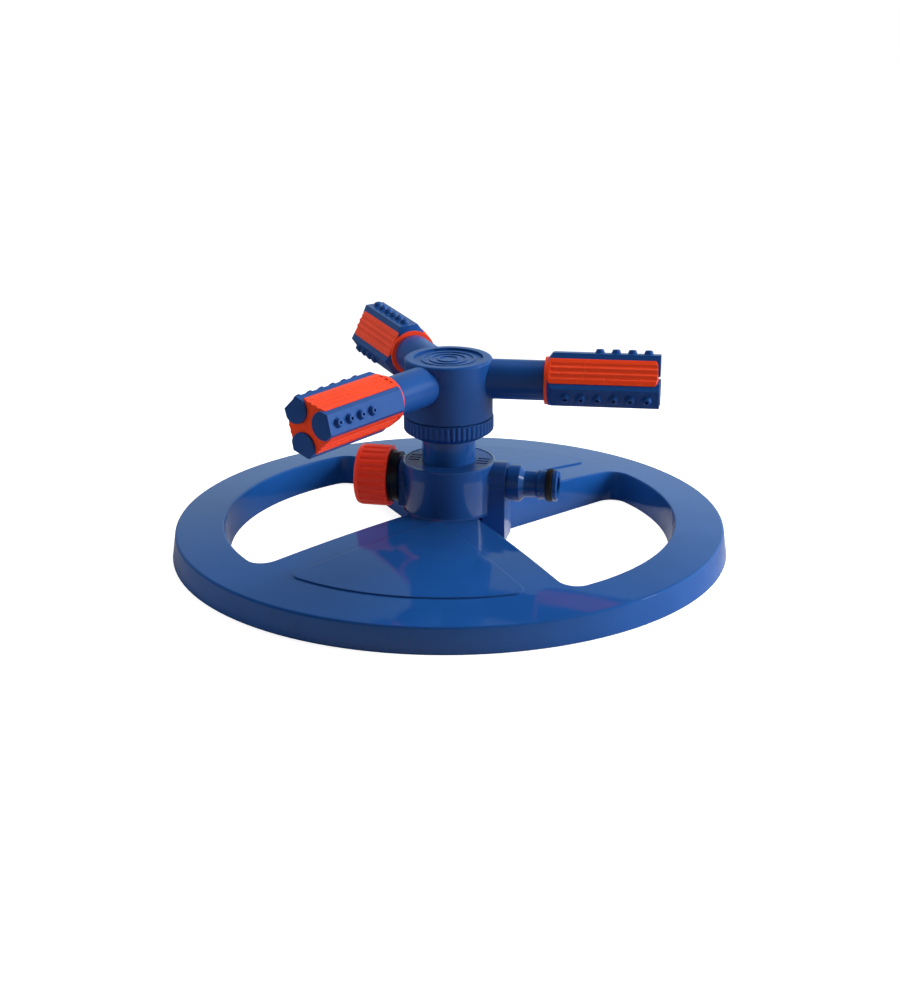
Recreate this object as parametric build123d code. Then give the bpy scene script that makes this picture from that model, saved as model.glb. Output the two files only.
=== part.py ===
from build123d import *
import math
import os

# Rotary garden sprinkler: a ring base with a port tower, a spinning hub with three arms, and on each arm a
# head that turns to select one of three jet bars.
# Millimetres. +Z is up, the origin is the centre of the base on the ground. The hose inlet points to +X, the
# capped outlet to -X.

# ---- base ring ----
BASE_R = 140.0
RIM_HEIGHT = 12.5
RIM_LEAN = 1.8
RIM_ROUND = 1.2
DECK_TOP = 19.5
DECK_FOOT_R = 24.4
SKIN = 2.4
RIB_THICKNESS = 2.0
RIB_CLEARANCE = 3.0
RIB_SPREAD = 28.0
RIB_RING_R = 76.0

# ---- sector openings in the base ----
OPENING_OFFSET = 5.8
OPENING_HALF_ANGLE = 52.0
OPENING_SIDE_DRAFT = 3.0
OPENING_R = 111.2
OPENING_DRAFT = 10.5
OPENING_CORNER = 9.0
OPENING_COLUMN_R = 17.0
OPENING_COLUMN_CORNER = 2.0
OPENING_EDGE = 0.7

# ---- raised panels on the base ----
PANEL_R = 111.5
PANEL_OFFSET = 14.2
PANEL_CORNER = 5.0
PANEL_HEIGHT = 0.7

# ---- port tower ----
TOWER_R = 23.4
TOWER_BASE_R = 22.4
TOWER_TOP = 45.0
TOWER_WALL = 2.4
TOWER_ROUND = 0.6
TOWER_FOOT = 0.9
PORT_Z = 34.2
GALLERY_R = 6.0
GALLERY_WALL = 3.2
SOCKET_R = 8.6
BOSS_END = 30.0
BOSS_WIDTH = 17.5
BOSS_BOTTOM = 5.0
BOSS_DEPTH = 12.0
BOSS_ROUND = 1.2
OUTLET_BOSS_END = 24.4
OUTLET_BOSS_BOTTOM = 21.5
PLATE_R = 21.9
PLATE_THICKNESS = 1.6
PLATE_RECESS = 0.3
PLATE_LEDGE = 2.4
SLOT_AT = 17.2
SLOT_LENGTH = 6.0
SLOT_WIDTH = 1.5
SLOT_PITCH = 3.6
SLOT_COUNT = 3

# ---- screws ----
SCREW_R = 1.6
SCREW_HEAD_R = 3.0
SCREW_HEAD_HEIGHT = 2.0
SCREW_SLOT_WIDTH = 0.8
SCREW_SLOT_DEPTH = 1.0
SCREW_POST_WALL = 1.8
SCREW_POST_TOP = 3.0
SCREW_LENGTH = 24.0
SCREW_CIRCLE_R = 17.0
SCREW_HALF_ANGLE = 24.0

# ---- spindle and its bearings ----
NECK_R = 13.4
NECK_TOP = 59.8
JOURNAL_R = 9.0
SPINDLE_BORE_R = 6.0
SPINDLE_TOP = 91.6
WINDOW_R = 3.4
RUNNING = 0.05
GAP = 0.3
FIT = 0.1
BUSH_R = 13.1
BUSH_HEIGHT = 12.0
WASHER_THICKNESS = 1.2
SEAL_HEIGHT = 2.4
RETAINER_R = 11.6
RETAINER_HEAD_HEIGHT = 1.2
WEB_THICKNESS = 1.4

# ---- hub and collar ----
COLLAR_R = 22.5
COLLAR_BOTTOM = 58.1
COLLAR_CHAMFER_R = 17.6
COLLAR_CHAMFER_HEIGHT = 3.0
COLLAR_TEETH = 52
TOOTH_DEPTH = 0.55
HUB_R = 22.0
HUB_BOTTOM = 68.6
HUB_TOP = 97.8
HUB_ROUND = 1.6
HUB_NECK_R = 18.6
CHAMBER_R = 17.2
HUB_CAP_RECESS = 1.1
HUB_CAP_THICKNESS = 1.6
HUB_CAP_RINGS = (5.0, 9.0, 13.0)
RING_HEIGHT = 0.45
RING_WIDTH = 1.1

# ---- arms ----
ARM_Z = 87.4
ARM_R = 9.9
ARM_BORE_R = 6.5
ARM_AZIMUTHS = {"a": 3.75, "b": 123.75, "c": 243.75}
HEAD_ANGLES = {"a": 79.0, "b": -34.0, "c": 14.0}
ARM_END = 48.0
SPIGOT_R = 8.0
SPIGOT_LENGTH = 10.4
SPIGOT_BORE_R = 5.6
SPIGOT_PORT_R = 1.5
SPIGOT_PORT_AT = 5.4
ORING_GROOVE_DEPTH = 1.4
ORING_GROOVE_AT = 2.4
ORING_GROOVE_WIDTH = 1.8
CLIP_GROOVE_AT = 6.8
CLIP_THICKNESS = 1.0
CLIP_STAND = 0.9
CLIP_MOUTH = 5.0
SELECTOR_SEAL_THICKNESS = 0.8

# ---- heads ----
HEAD_LENGTH = 55.0
FLANGE_R = 11.8
FLANGE_THICKNESS = 1.5
ROOT_SLOPE = 1.9
BAND_R = 12.0
BAND_CORNER_R = 13.3
CORE_WALL = 1.4
RIDGES = 4
RIDGE_PITCH = 3.2
RIDGE_GROOVE_R = 2.0
RIDGE_GROOVE_DEPTH = 0.55
BAND_ROUND = 1.8
BAR_PROUD = 1.1
BAR_FACE = 14.3
BAR_FACE_HALF = 5.0
BAR_BELLY = 10.3
BAR_BELLY_HALF = 7.0
BAR_WALL = 1.3
JET_PITCH = 7.92
JET_END = 6.0
JET_BASE_R = 2.5
JET_TIP_R = 1.7
JET_HEIGHT = 2.0
JET_ROUND = 0.5
JET_HOLE_R = 0.7
JETS = {"4jet": 4, "6jet": 6, "5jet": 5}

# ---- hose inlet ----
INLET_PROFILE = (
    (1.1, 8.3), (1.1, 9.26), (6.8, 9.26), (9.1, 6.9), (15.0, 6.5), (15.8, 7.5), (17.3, 7.5), (17.3, 7.2),
)
INLET_NECK_R = 8.3
INLET_LENGTH = 25.7
INLET_TIP_R = 7.9
INLET_TIP_ROUND = 0.7
INLET_BORE_R = 4.6
INLET_TAIL = 7.4
INLET_RING_AT = 21.55
INLET_RING_R = 8.3
INLET_RING_WIDTH = 3.3
INLET_RING_DEPTH = 2.0
FILTER_THICKNESS = 1.0
FILTER_HOLE_R = 0.5
FILTER_RINGS = (1.4, 2.8, 4.2)

# ---- threaded outlet and its cap ----
THREAD_R = 13.2
NIPPLE_R = 12.6
NIPPLE_SHOULDER = 28.2
NIPPLE_END = 42.4
NIPPLE_TAIL = 2.2
NIPPLE_BORE_R = 7.5
CAP_R = 15.5
CAP_START = 29.6
CAP_END = 46.4
CAP_WALL = 1.7
CAP_SHOULDER = 2.4
CAP_RIBS = 22
CAP_RIB_HEIGHT = 0.6
CAP_RIB_LAND = 0.68
CAP_LIP = 0.6
CAP_WASHER_R = 12.6
CAP_WASHER_THICKNESS = 1.6


# ---- helpers ----
def tube(r_out, r_in, z0, z1):
    """A tube along Z; r_in of 0 gives a rod."""
    face = Circle(r_out) - Circle(r_in) if r_in > 0 else Circle(r_out)
    return extrude(Pos(0, 0, z0) * face, amount=z1 - z0)


def tube_x(r_out, r_in, x0, x1):
    """A tube along X, centred on the X axis."""
    return Rot(0, 90, 0) * tube(r_out, r_in, x0, x1)


def turned(points):
    """A body of revolution about Z from (radius, height) points."""
    outline = Polyline(*[(r, 0, z) for r, z in points], close=True)
    return revolve(make_face(outline), Axis.Z)


def turned_x(points):
    """A body of revolution about X from (x, radius) points."""
    outline = Polyline(*[(x, r, 0) for x, r in points], close=True)
    return revolve(make_face(outline), Axis.X)


def torus_x(major, minor, x):
    return Pos(x, 0, 0) * Rot(0, 90, 0) * Torus(major, minor)


def toothed_outline(r_tip, r_root, teeth, land=0.5):
    """A closed gear-like outline: each tooth is a flat tip and a flat root."""
    step = 2 * math.pi / teeth
    points = []
    for i in range(teeth):
        for share, r in ((0.0, r_root), (0.5 - land / 2, r_tip), (0.5 + land / 2, r_tip)):
            angle = (i + share) * step
            points.append((r * math.cos(angle), r * math.sin(angle)))
    return make_face(Polyline(*points, close=True))


def at_port(part):
    return Pos(0, 0, PORT_Z) * part


def on_arm(part, name):
    """Moves a piece made along +X, with its bar side to +Y, onto an arm."""
    return Rot(0, 0, ARM_AZIMUTHS[name]) * Pos(0, 0, ARM_Z) * part


def turned_head(part, name, offset=0.0):
    return Rot(HEAD_ANGLES[name] + offset, 0, 0) * part


# ---- base ring ----
def rim_r():
    return BASE_R - RIM_LEAN


def dome_centre():
    """Height of the centre of the sphere that the deck belongs to, found from its two edges."""
    return (DECK_FOOT_R ** 2 - rim_r() ** 2 + DECK_TOP ** 2 - RIM_HEIGHT ** 2) / (2 * (DECK_TOP - RIM_HEIGHT))


def dome_r():
    return math.hypot(rim_r(), RIM_HEIGHT - dome_centre())


def under_deck(floor, rise, r_floor):
    """A body of revolution with the lean of the rim, from a floor height up to the domed deck raised by rise."""
    dome = Pos(0, 0, dome_centre() + rise) * Sphere(dome_r())
    top = DECK_TOP + rise
    r_top = r_floor - RIM_LEAN * (top - floor) / RIM_HEIGHT
    return turned([(0, floor), (r_floor, floor), (r_top, top), (0, top)]) & dome


def base_solid():
    solid = under_deck(0, 0, BASE_R)
    rim = [e for e in solid.edges().filter_by(GeomType.CIRCLE) if abs(e.radius - rim_r()) < 0.01]
    return fillet(rim, RIM_ROUND)


def wedge(offset, draft):
    """The space between two walls that pass the origin at offset, spreading to +X and leaning apart upwards."""
    reach = 4 * BASE_R
    sides = []
    for sign, keep in ((1, Align.MAX), (-1, Align.MIN)):
        half_space = Box(reach, reach, reach, align=(Align.CENTER, keep, Align.CENTER))
        sides.append(Rot(0, 0, sign * OPENING_HALF_ANGLE) * Pos(0, -sign * offset, 0)
                     * Rot(-sign * draft, 0, 0) * half_space)
    return sides[0] & sides[1]


def opening_cutter(grow=0.0):
    """The cutter of the right opening, made larger all round by grow."""
    top = DECK_TOP + 2
    widening = (top + 2) * math.tan(math.radians(OPENING_DRAFT))
    start = OPENING_R + grow - 2 * math.tan(math.radians(OPENING_DRAFT))
    column = OPENING_COLUMN_R - grow
    ring = turned([(column, -2), (start, -2), (start + widening, top), (column, top)])
    cutter = ring & wedge(OPENING_OFFSET - grow, OPENING_SIDE_DRAFT)
    corners = [e for e in cutter.edges() if e.bounding_box().size.Z > top / 2]
    outer = [e for e in corners if e.center().X > OPENING_R / 3]
    cutter = fillet(outer, OPENING_CORNER + grow)
    inner = [e for e in cutter.edges() if e.bounding_box().size.Z > top / 2 and e.center().X < OPENING_R / 3]
    return fillet(inner, OPENING_COLUMN_CORNER)


def panel():
    """The raised panel on the rear deck, its sides parallel to the walls of the openings."""
    half = math.radians(90 - OPENING_HALF_ANGLE)
    start = PANEL_OFFSET / math.sin(half)
    reach = 2 * BASE_R
    spread = (reach - start) * math.tan(half)
    outline = make_face(Polyline((0, start), (-spread, reach), (spread, reach), close=True)) & Circle(PANEL_R)
    outline = fillet([v for v in outline.vertices() if v.Y > PANEL_R / 2], PANEL_CORNER)
    column = extrude(outline, amount=2 * DECK_TOP) - tube(TOWER_R + TOWER_FOOT + FIT, 0, -1, 3 * DECK_TOP)
    return under_deck(0, PANEL_HEIGHT, BASE_R) & column


def screw_places():
    places = []
    for side in (-90, 90):
        for turn in (-SCREW_HALF_ANGLE, SCREW_HALF_ANGLE):
            angle = math.radians(side + turn)
            places.append((SCREW_CIRCLE_R * math.cos(angle), SCREW_CIRCLE_R * math.sin(angle)))
    return places


def base_ribs():
    ribs = []
    start = TOWER_R - RIB_THICKNESS
    length = BASE_R - 1.0 - start
    height = DECK_TOP - RIB_CLEARANCE
    for side in (-90, 90):
        for turn in (-RIB_SPREAD, 0, RIB_SPREAD):
            box = Box(length, RIB_THICKNESS, height, align=(Align.MIN, Align.CENTER, Align.MIN))
            ribs.append(Rot(0, 0, side + turn) * Pos(start, 0, RIB_CLEARANCE) * box)
    ribs.append(tube(RIB_RING_R + RIB_THICKNESS / 2, RIB_RING_R - RIB_THICKNESS / 2, RIB_CLEARANCE, DECK_TOP))
    ribs.append(tube(TOWER_R, 0, RIB_CLEARANCE, DECK_TOP))
    return ribs


def opening_edges(plate):
    """The edges where the two openings break the top of the deck."""
    found = []
    for edge in plate.edges():
        middle = edge @ 0.5
        reach = math.hypot(middle.X, middle.Y)
        if reach < OPENING_R + 5 and abs(middle.Y) < 1.2 * abs(middle.X):
            height = min(DECK_TOP, dome_centre() + math.sqrt(dome_r() ** 2 - reach ** 2))
            if abs(middle.Z - height) < 0.01 and edge.bounding_box().size.Z < DECK_TOP / 2:
                found.append(edge)
    return found


def make_base_plate():
    outer = base_solid()
    cavity = under_deck(-1, -SKIN, BASE_R - SKIN)
    walls = opening_cutter(SKIN)
    cavity = cavity - walls - Rot(0, 0, 180) * walls - base_ribs()
    plate = outer
    for turn in (0, 180):
        plate = plate + Rot(0, 0, turn) * panel()
    plate = plate - cavity
    cutter = opening_cutter()
    plate = plate - cutter - Rot(0, 0, 180) * cutter
    plate = fillet(opening_edges(plate), OPENING_EDGE)
    for x, y in screw_places():
        plate = plate - Pos(x, y, 0) * tube(SCREW_R + FIT, 0, 0, DECK_TOP + 1)
        plate = plate - Pos(x, y, 0) * tube(SCREW_HEAD_R + GAP, 0, -1, screw_seat())
    return plate


def screw_seat():
    """Height of the face that the screw heads bear on."""
    return RIB_CLEARANCE + SCREW_HEAD_HEIGHT + 1.0


def make_housing_screws():
    seat = screw_seat()
    screw = tube(SCREW_R, 0, seat - 0.1, seat + SCREW_LENGTH)
    screw = screw + tube(SCREW_HEAD_R, 0, seat - SCREW_HEAD_HEIGHT, seat)
    for turn in (0, 90):
        slot = Box(SCREW_HEAD_R, SCREW_SLOT_WIDTH, SCREW_SLOT_DEPTH,
                   align=(Align.CENTER, Align.CENTER, Align.MIN))
        screw = screw - Pos(0, 0, seat - SCREW_HEAD_HEIGHT) * Rot(0, 0, turn) * slot
    return Compound(children=[Pos(x, y, 0) * screw for x, y in screw_places()])


# ---- port tower ----
def plate_top():
    return TOWER_TOP - PLATE_RECESS


def port_boss(x0, x1, bottom):
    """A boss with an arched top about the port axis and flat sides down to a height."""
    sides = Pos(x0, 0, bottom) * Box(
        x1 - x0, BOSS_WIDTH, TOWER_TOP - bottom, align=(Align.MIN, Align.CENTER, Align.MIN))
    depth = PORT_Z - bottom + 1
    arch = at_port(tube_x(TOWER_TOP - PORT_Z - 0.02, 0, x0 - 1, x1 + 1))
    arch = arch + Pos(x0 - 1, 0, PORT_Z) * Box(
        x1 - x0 + 2, BOSS_WIDTH + 2, depth, align=(Align.MIN, Align.CENTER, Align.MAX))
    return sides & arch


def make_inlet_housing():
    roof_top = plate_top() - PLATE_THICKNESS
    body = turned([
        (0, DECK_TOP), (TOWER_BASE_R + TOWER_FOOT, DECK_TOP), (TOWER_BASE_R, DECK_TOP + TOWER_FOOT),
        (TOWER_R, TOWER_TOP - TOWER_ROUND), (TOWER_R - 0.3 * TOWER_ROUND, TOWER_TOP - 0.3 * TOWER_ROUND),
        (TOWER_R - TOWER_ROUND, TOWER_TOP), (0, TOWER_TOP),
    ])
    body = body + port_boss(0, BOSS_END, DECK_TOP)
    body = body + port_boss(BOSS_END - BOSS_DEPTH, BOSS_END, BOSS_BOTTOM)
    body = body + port_boss(-OUTLET_BOSS_END, 0, OUTLET_BOSS_BOTTOM)
    inside = [e for e in body.edges() if abs(abs((e @ 0.5).Y) - BOSS_WIDTH / 2) < 0.2
              and BOSS_DEPTH < (e @ 0.5).X < TOWER_R and e.bounding_box().size.Z > BOSS_ROUND * 4]
    body = fillet(inside, BOSS_ROUND)
    body = body - Pos(BOSS_END - TOWER_WALL, 0, BOSS_BOTTOM - 1) * Box(
        BOSS_DEPTH - 2 * TOWER_WALL, BOSS_WIDTH - 2 * TOWER_WALL, PORT_Z - SOCKET_R - TOWER_WALL - BOSS_BOTTOM + 1,
        align=(Align.MAX, Align.CENTER, Align.MIN))
    cavity = tube(PLATE_R - PLATE_LEDGE, 0, DECK_TOP + TOWER_WALL, roof_top + 1)
    cavity = cavity - at_port(tube_x(GALLERY_R + GALLERY_WALL, 0, -TOWER_R, TOWER_R))
    cavity = cavity - tube(NECK_R, 0, PORT_Z, roof_top)
    for x, y in screw_places():
        cavity = cavity - Pos(x, y, 0) * tube(
            SCREW_R + SCREW_POST_WALL, 0, DECK_TOP, screw_seat() + SCREW_LENGTH + SCREW_POST_TOP)
    body = body - cavity
    body = body - tube(PLATE_R + FIT, 0, roof_top, TOWER_TOP + 1)
    body = body - tube(SPINDLE_BORE_R, 0, PORT_Z, TOWER_TOP)
    body = body - at_port(tube_x(GALLERY_R, 0, -TOWER_R - 1, BOSS_END + 1))
    tail = INLET_TAIL + FILTER_THICKNESS + FIT
    body = body - at_port(tube_x(SOCKET_R + FIT, 0, BOSS_END - tail, BOSS_END + 1))
    body = body - at_port(tube_x(SOCKET_R + FIT, 0, -TOWER_R - 2, -TOWER_R + NIPPLE_TAIL + FIT))
    for x, y in screw_places():
        body = body - Pos(x, y, 0) * tube(SCREW_R, 0, DECK_TOP - 1, screw_seat() + SCREW_LENGTH + 1)
    return body


def make_tower_plate():
    top = plate_top()
    plate = tube(PLATE_R, NECK_R + FIT, top - PLATE_THICKNESS, top)
    slot = Box(SLOT_LENGTH, SLOT_WIDTH, 3 * PLATE_THICKNESS)
    for side in (-1, 1):
        for i in range(SLOT_COUNT):
            y = (i - (SLOT_COUNT - 1) / 2) * SLOT_PITCH
            plate = plate - Pos(side * SLOT_AT, y, top) * slot
    return plate


# ---- spindle ----
def make_spindle():
    foot = plate_top() - PLATE_THICKNESS
    body = tube(NECK_R, 0, foot, NECK_TOP) + tube(JOURNAL_R, 0, NECK_TOP - 1, SPINDLE_TOP)
    body = body - tube(SPINDLE_BORE_R, 0, foot - 1, SPINDLE_TOP - 5)
    window = Rot(0, 90, 0) * Cylinder(WINDOW_R, 4 * JOURNAL_R)
    for azimuth in (0, 60, 120):
        body = body - Pos(0, 0, ARM_Z - 4.5) * Rot(0, 0, azimuth) * window
    return body - tube(SCREW_R, 0, SPINDLE_TOP - 4, SPINDLE_TOP + 1)


def bush_bottom():
    return NECK_TOP + WASHER_THICKNESS + 2 * GAP


def make_thrust_washer():
    return tube(NECK_R, JOURNAL_R + FIT, NECK_TOP, NECK_TOP + WASHER_THICKNESS)


def make_rotor_bush():
    low = bush_bottom()
    return tube(BUSH_R, JOURNAL_R + RUNNING, low, low + BUSH_HEIGHT)


def make_rotor_seal():
    low = bush_bottom() + BUSH_HEIGHT
    return tube(BUSH_R, JOURNAL_R + GAP, low, low + SEAL_HEIGHT)


def web_top():
    """Top face of the hub web that the retaining washer sits over."""
    return SPINDLE_TOP - GAP


def make_retainer_washer():
    return tube(RETAINER_R, SCREW_R + FIT, SPINDLE_TOP, SPINDLE_TOP + WASHER_THICKNESS)


def make_retainer_screw():
    head = SPINDLE_TOP + WASHER_THICKNESS
    screw = tube(SCREW_R, 0, SPINDLE_TOP - 3.5, head + 0.1) + tube(SCREW_HEAD_R, 0, head, head + RETAINER_HEAD_HEIGHT)
    return screw


# ---- hub ----
def hub_split():
    return ARM_Z


def hub_body():
    """The whole hub, before it is split at the arms into its two welded halves."""
    bush_top = bush_bottom() + BUSH_HEIGHT
    seal_top = bush_top + SEAL_HEIGHT
    floor_top = seal_top + WEB_THICKNESS
    ledge = HUB_TOP - HUB_CAP_RECESS - HUB_CAP_THICKNESS
    body = turned([
        (0, bush_bottom()), (HUB_NECK_R, bush_bottom()), (HUB_NECK_R, HUB_BOTTOM), (HUB_R, HUB_BOTTOM),
        (HUB_R, HUB_TOP), (0, HUB_TOP),
    ])
    top = [e for e in body.edges().filter_by(GeomType.CIRCLE)
           if abs(e.radius - HUB_R) < 0.01 and e.center().Z > HUB_TOP - 0.1]
    body = fillet(top, HUB_ROUND)
    body = body - tube(BUSH_R, 0, bush_bottom() - 1, seal_top)
    body = body - tube(JOURNAL_R + GAP, 0, seal_top - 1, floor_top + 1)
    body = body - tube(CHAMBER_R, 0, floor_top, web_top() - WEB_THICKNESS)
    body = body - tube(JOURNAL_R + GAP, 0, web_top() - WEB_THICKNESS - 1, web_top() + 1)
    body = body - tube(CHAMBER_R - 1.6, 0, web_top(), ledge + 1)
    body = body - tube(CHAMBER_R, 0, ledge, HUB_TOP + 1)
    for name in ARM_AZIMUTHS:
        body = body - on_arm(tube_x(ARM_R, 0, CHAMBER_R, HUB_R + 1), name)
        body = body - on_arm(tube_x(ARM_BORE_R, 0, CHAMBER_R - 2, HUB_R + 1), name)
    return body


def make_hub_lower():
    return hub_body() & tube(HUB_R + 5, 0, 0, hub_split())


def make_hub_upper():
    return hub_body() & tube(HUB_R + 5, 0, hub_split(), HUB_TOP + 5)


def make_hub_cap():
    top = HUB_TOP - HUB_CAP_RECESS
    cap = tube(CHAMBER_R - FIT, 0, top - HUB_CAP_THICKNESS, top)
    for r in HUB_CAP_RINGS:
        cap = cap + tube(r + RING_WIDTH / 2, r - RING_WIDTH / 2, top - 0.1, top + RING_HEIGHT)
    return cap


def make_collar_nut():
    outline = toothed_outline(COLLAR_R, COLLAR_R - TOOTH_DEPTH, COLLAR_TEETH)
    body = extrude(Pos(0, 0, COLLAR_BOTTOM) * outline, amount=HUB_BOTTOM - COLLAR_BOTTOM)
    body = body & turned([
        (0, COLLAR_BOTTOM), (COLLAR_CHAMFER_R, COLLAR_BOTTOM), (COLLAR_R, COLLAR_BOTTOM + COLLAR_CHAMFER_HEIGHT),
        (COLLAR_R, HUB_BOTTOM), (0, HUB_BOTTOM),
    ])
    body = body - tube(NECK_R + 2 * GAP, 0, COLLAR_BOTTOM - 1, HUB_BOTTOM)
    return body - tube(HUB_NECK_R, 0, bush_bottom(), HUB_BOTTOM + 1)


# ---- arms ----
def groove_r():
    """Floor radius of the two grooves in an arm's spigot."""
    return SPIGOT_R - ORING_GROOVE_DEPTH


def clip_r():
    return SPIGOT_R + CLIP_STAND


def make_arm(name):
    end = ARM_END + SPIGOT_LENGTH
    arm = tube_x(ARM_R, 0, CHAMBER_R, ARM_END) + tube_x(SPIGOT_R, 0, ARM_END - 1, end)
    arm = arm - tube_x(ARM_BORE_R, 0, CHAMBER_R - 1, ARM_END - 4)
    arm = arm - tube_x(SPIGOT_BORE_R, 0, ARM_END - 5, end - 1.5)
    arm = arm - Pos(0, 0, SPIGOT_PORT_AT) * tube_x(SPIGOT_PORT_R, 0, end - 2, end + 1)
    start = ARM_END + ORING_GROOVE_AT
    arm = arm - tube_x(SPIGOT_R + 1, groove_r(), start, start + ORING_GROOVE_WIDTH)
    start = ARM_END + CLIP_GROOVE_AT
    arm = arm - tube_x(SPIGOT_R + 1, groove_r(), start, start + CLIP_THICKNESS + 2 * FIT)
    scoop = Rot(0, 0, -ARM_AZIMUTHS[name]) * Pos(0, 0, -ARM_Z) * tube(CHAMBER_R, 0, 0, 2 * HUB_TOP)
    return on_arm(arm - scoop, name)


def make_head_oring(name):
    minor = (ORING_GROOVE_DEPTH - FIT) / 2
    middle = ARM_END + ORING_GROOVE_AT + ORING_GROOVE_WIDTH / 2
    return on_arm(torus_x(groove_r() + FIT / 2 + minor, minor, middle), name)


def make_head_clip(name):
    start = ARM_END + CLIP_GROOVE_AT + FIT
    clip = tube_x(clip_r(), groove_r() + FIT, start, start + CLIP_THICKNESS)
    mouth = Box(3 * CLIP_THICKNESS, CLIP_MOUTH, 2 * clip_r(), align=(Align.CENTER, Align.CENTER, Align.MAX))
    return on_arm(clip - Pos(start + CLIP_THICKNESS / 2, 0, 0) * mouth, name)


def make_selector_seal(name):
    start = ARM_END + SPIGOT_LENGTH
    seal = tube_x(SPIGOT_R - GAP, 0, start, start + SELECTOR_SEAL_THICKNESS)
    hole = Pos(0, 0, SPIGOT_PORT_AT) * tube_x(SPIGOT_PORT_R, 0, start - 1, start + 2)
    return on_arm(seal - hole, name)


# ---- heads, made along +X with the first bar to +Y ----
def head_start():
    return ARM_END + GAP


def socket_end():
    return ARM_END + SPIGOT_LENGTH + SELECTOR_SEAL_THICKNESS + GAP


def bar_root():
    """Where a bar's full section starts."""
    return socket_end() + 1.7


def head_end():
    return head_start() + HEAD_LENGTH


def bar_section(grow=0.0):
    """A bar's section as a face across X, its outer flat towards +Y."""
    belly = BAR_BELLY_HALF + grow
    half = BAR_FACE_HALF + grow
    face = BAR_FACE + grow
    outline = [
        ThreePointArc((BAR_BELLY, belly), (BAR_BELLY - belly, 0), (BAR_BELLY, -belly)),
        Polyline((BAR_BELLY, -belly), (face, -half), (face, half), (BAR_BELLY, belly)),
    ]
    return Plane.YZ * make_face(outline)


def bar_blank(grow, start, end):
    """The outside of a bar, thinned at its root so that it clears the socket wall."""
    blank = extrude(Pos(start, 0, 0) * bar_section(grow), amount=end - start)
    keep_out = clip_r() + 2 * GAP + CORE_WALL - grow
    return blank - tube_x(keep_out, 0, start - 1, bar_root() - grow)


def root_envelope():
    """Everything outside the sloped root ends of the bars and the bands."""
    start = head_start() + FLANGE_THICKNESS
    reach = BAR_FACE + JET_HEIGHT + 5
    slope = ROOT_SLOPE / (BAR_FACE - FLANGE_R)
    return turned_x([
        (start, 0), (start, FLANGE_R), (start + (reach - FLANGE_R) * slope, reach),
        (head_end() + 5, reach), (head_end() + 5, 0),
    ])


def jet_positions(count):
    last = head_end() + BAR_PROUD - JET_END
    return [last - i * JET_PITCH for i in range(count)]


def make_bar(name, kind):
    start = head_start() + FLANGE_THICKNESS
    end = head_end() + BAR_PROUD
    bar = bar_blank(-FIT, start, end) & root_envelope()
    inside = extrude(Pos(bar_root() + BAR_WALL, 0, 0) * bar_section(-FIT - BAR_WALL),
                     amount=end - bar_root() - 2 * BAR_WALL)
    bar = bar - inside
    bar = bar - Pos(0, SPIGOT_PORT_AT, 0) * tube_x(SPIGOT_PORT_R, 0, bar_root() - 1, bar_root() + BAR_WALL + 1)
    jet = Cone(JET_BASE_R, JET_TIP_R, JET_HEIGHT, align=(Align.CENTER, Align.CENTER, Align.MIN))
    jet = fillet(jet.edges().sort_by(Axis.Z)[-1], JET_ROUND)
    hole = Cylinder(JET_HOLE_R, 3 * JET_HEIGHT)
    for x in jet_positions(JETS[kind]):
        bar = bar + Pos(x, BAR_FACE - FIT, 0) * Rot(-90, 0, 0) * jet
        bar = bar - Pos(x, BAR_FACE, 0) * Rot(-90, 0, 0) * hole
    return on_arm(turned_head(bar, name, 120 * list(JETS).index(kind)), name)


def core_section():
    """The core's outline: three slightly bulging bands between the bars."""
    corner = math.degrees(math.asin((BAR_FACE_HALF + BAR_BELLY_HALF) / 2 / BAND_CORNER_R)) + 2.5
    edges = []
    for i in range(3):
        angles = (120 * i + corner, 120 * i + 60, 120 * i + 120 - corner)
        ends = [(r * math.cos(math.radians(a)), r * math.sin(math.radians(a)))
                for r, a in zip((BAND_CORNER_R, BAND_R, BAND_CORNER_R), angles)]
        edges.append(ThreePointArc(*ends))
        after = math.radians(120 * (i + 1) + corner)
        edges.append(Line(ends[2], (BAND_CORNER_R * math.cos(after), BAND_CORNER_R * math.sin(after))))
    return Plane.YZ * make_face(edges)


def band_end(end):
    """Everything inside the rounded outer end of the bands."""
    points = [(0, 0), (0, 2 * BAND_CORNER_R), (end - BAND_ROUND, 2 * BAND_CORNER_R)]
    for turn in range(0, 91, 18):
        angle = math.radians(turn)
        points.append((end - BAND_ROUND * (1 - math.sin(angle)), BAND_CORNER_R - BAND_ROUND * (1 - math.cos(angle))))
    return turned_x(points + [(end, 0)])


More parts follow.
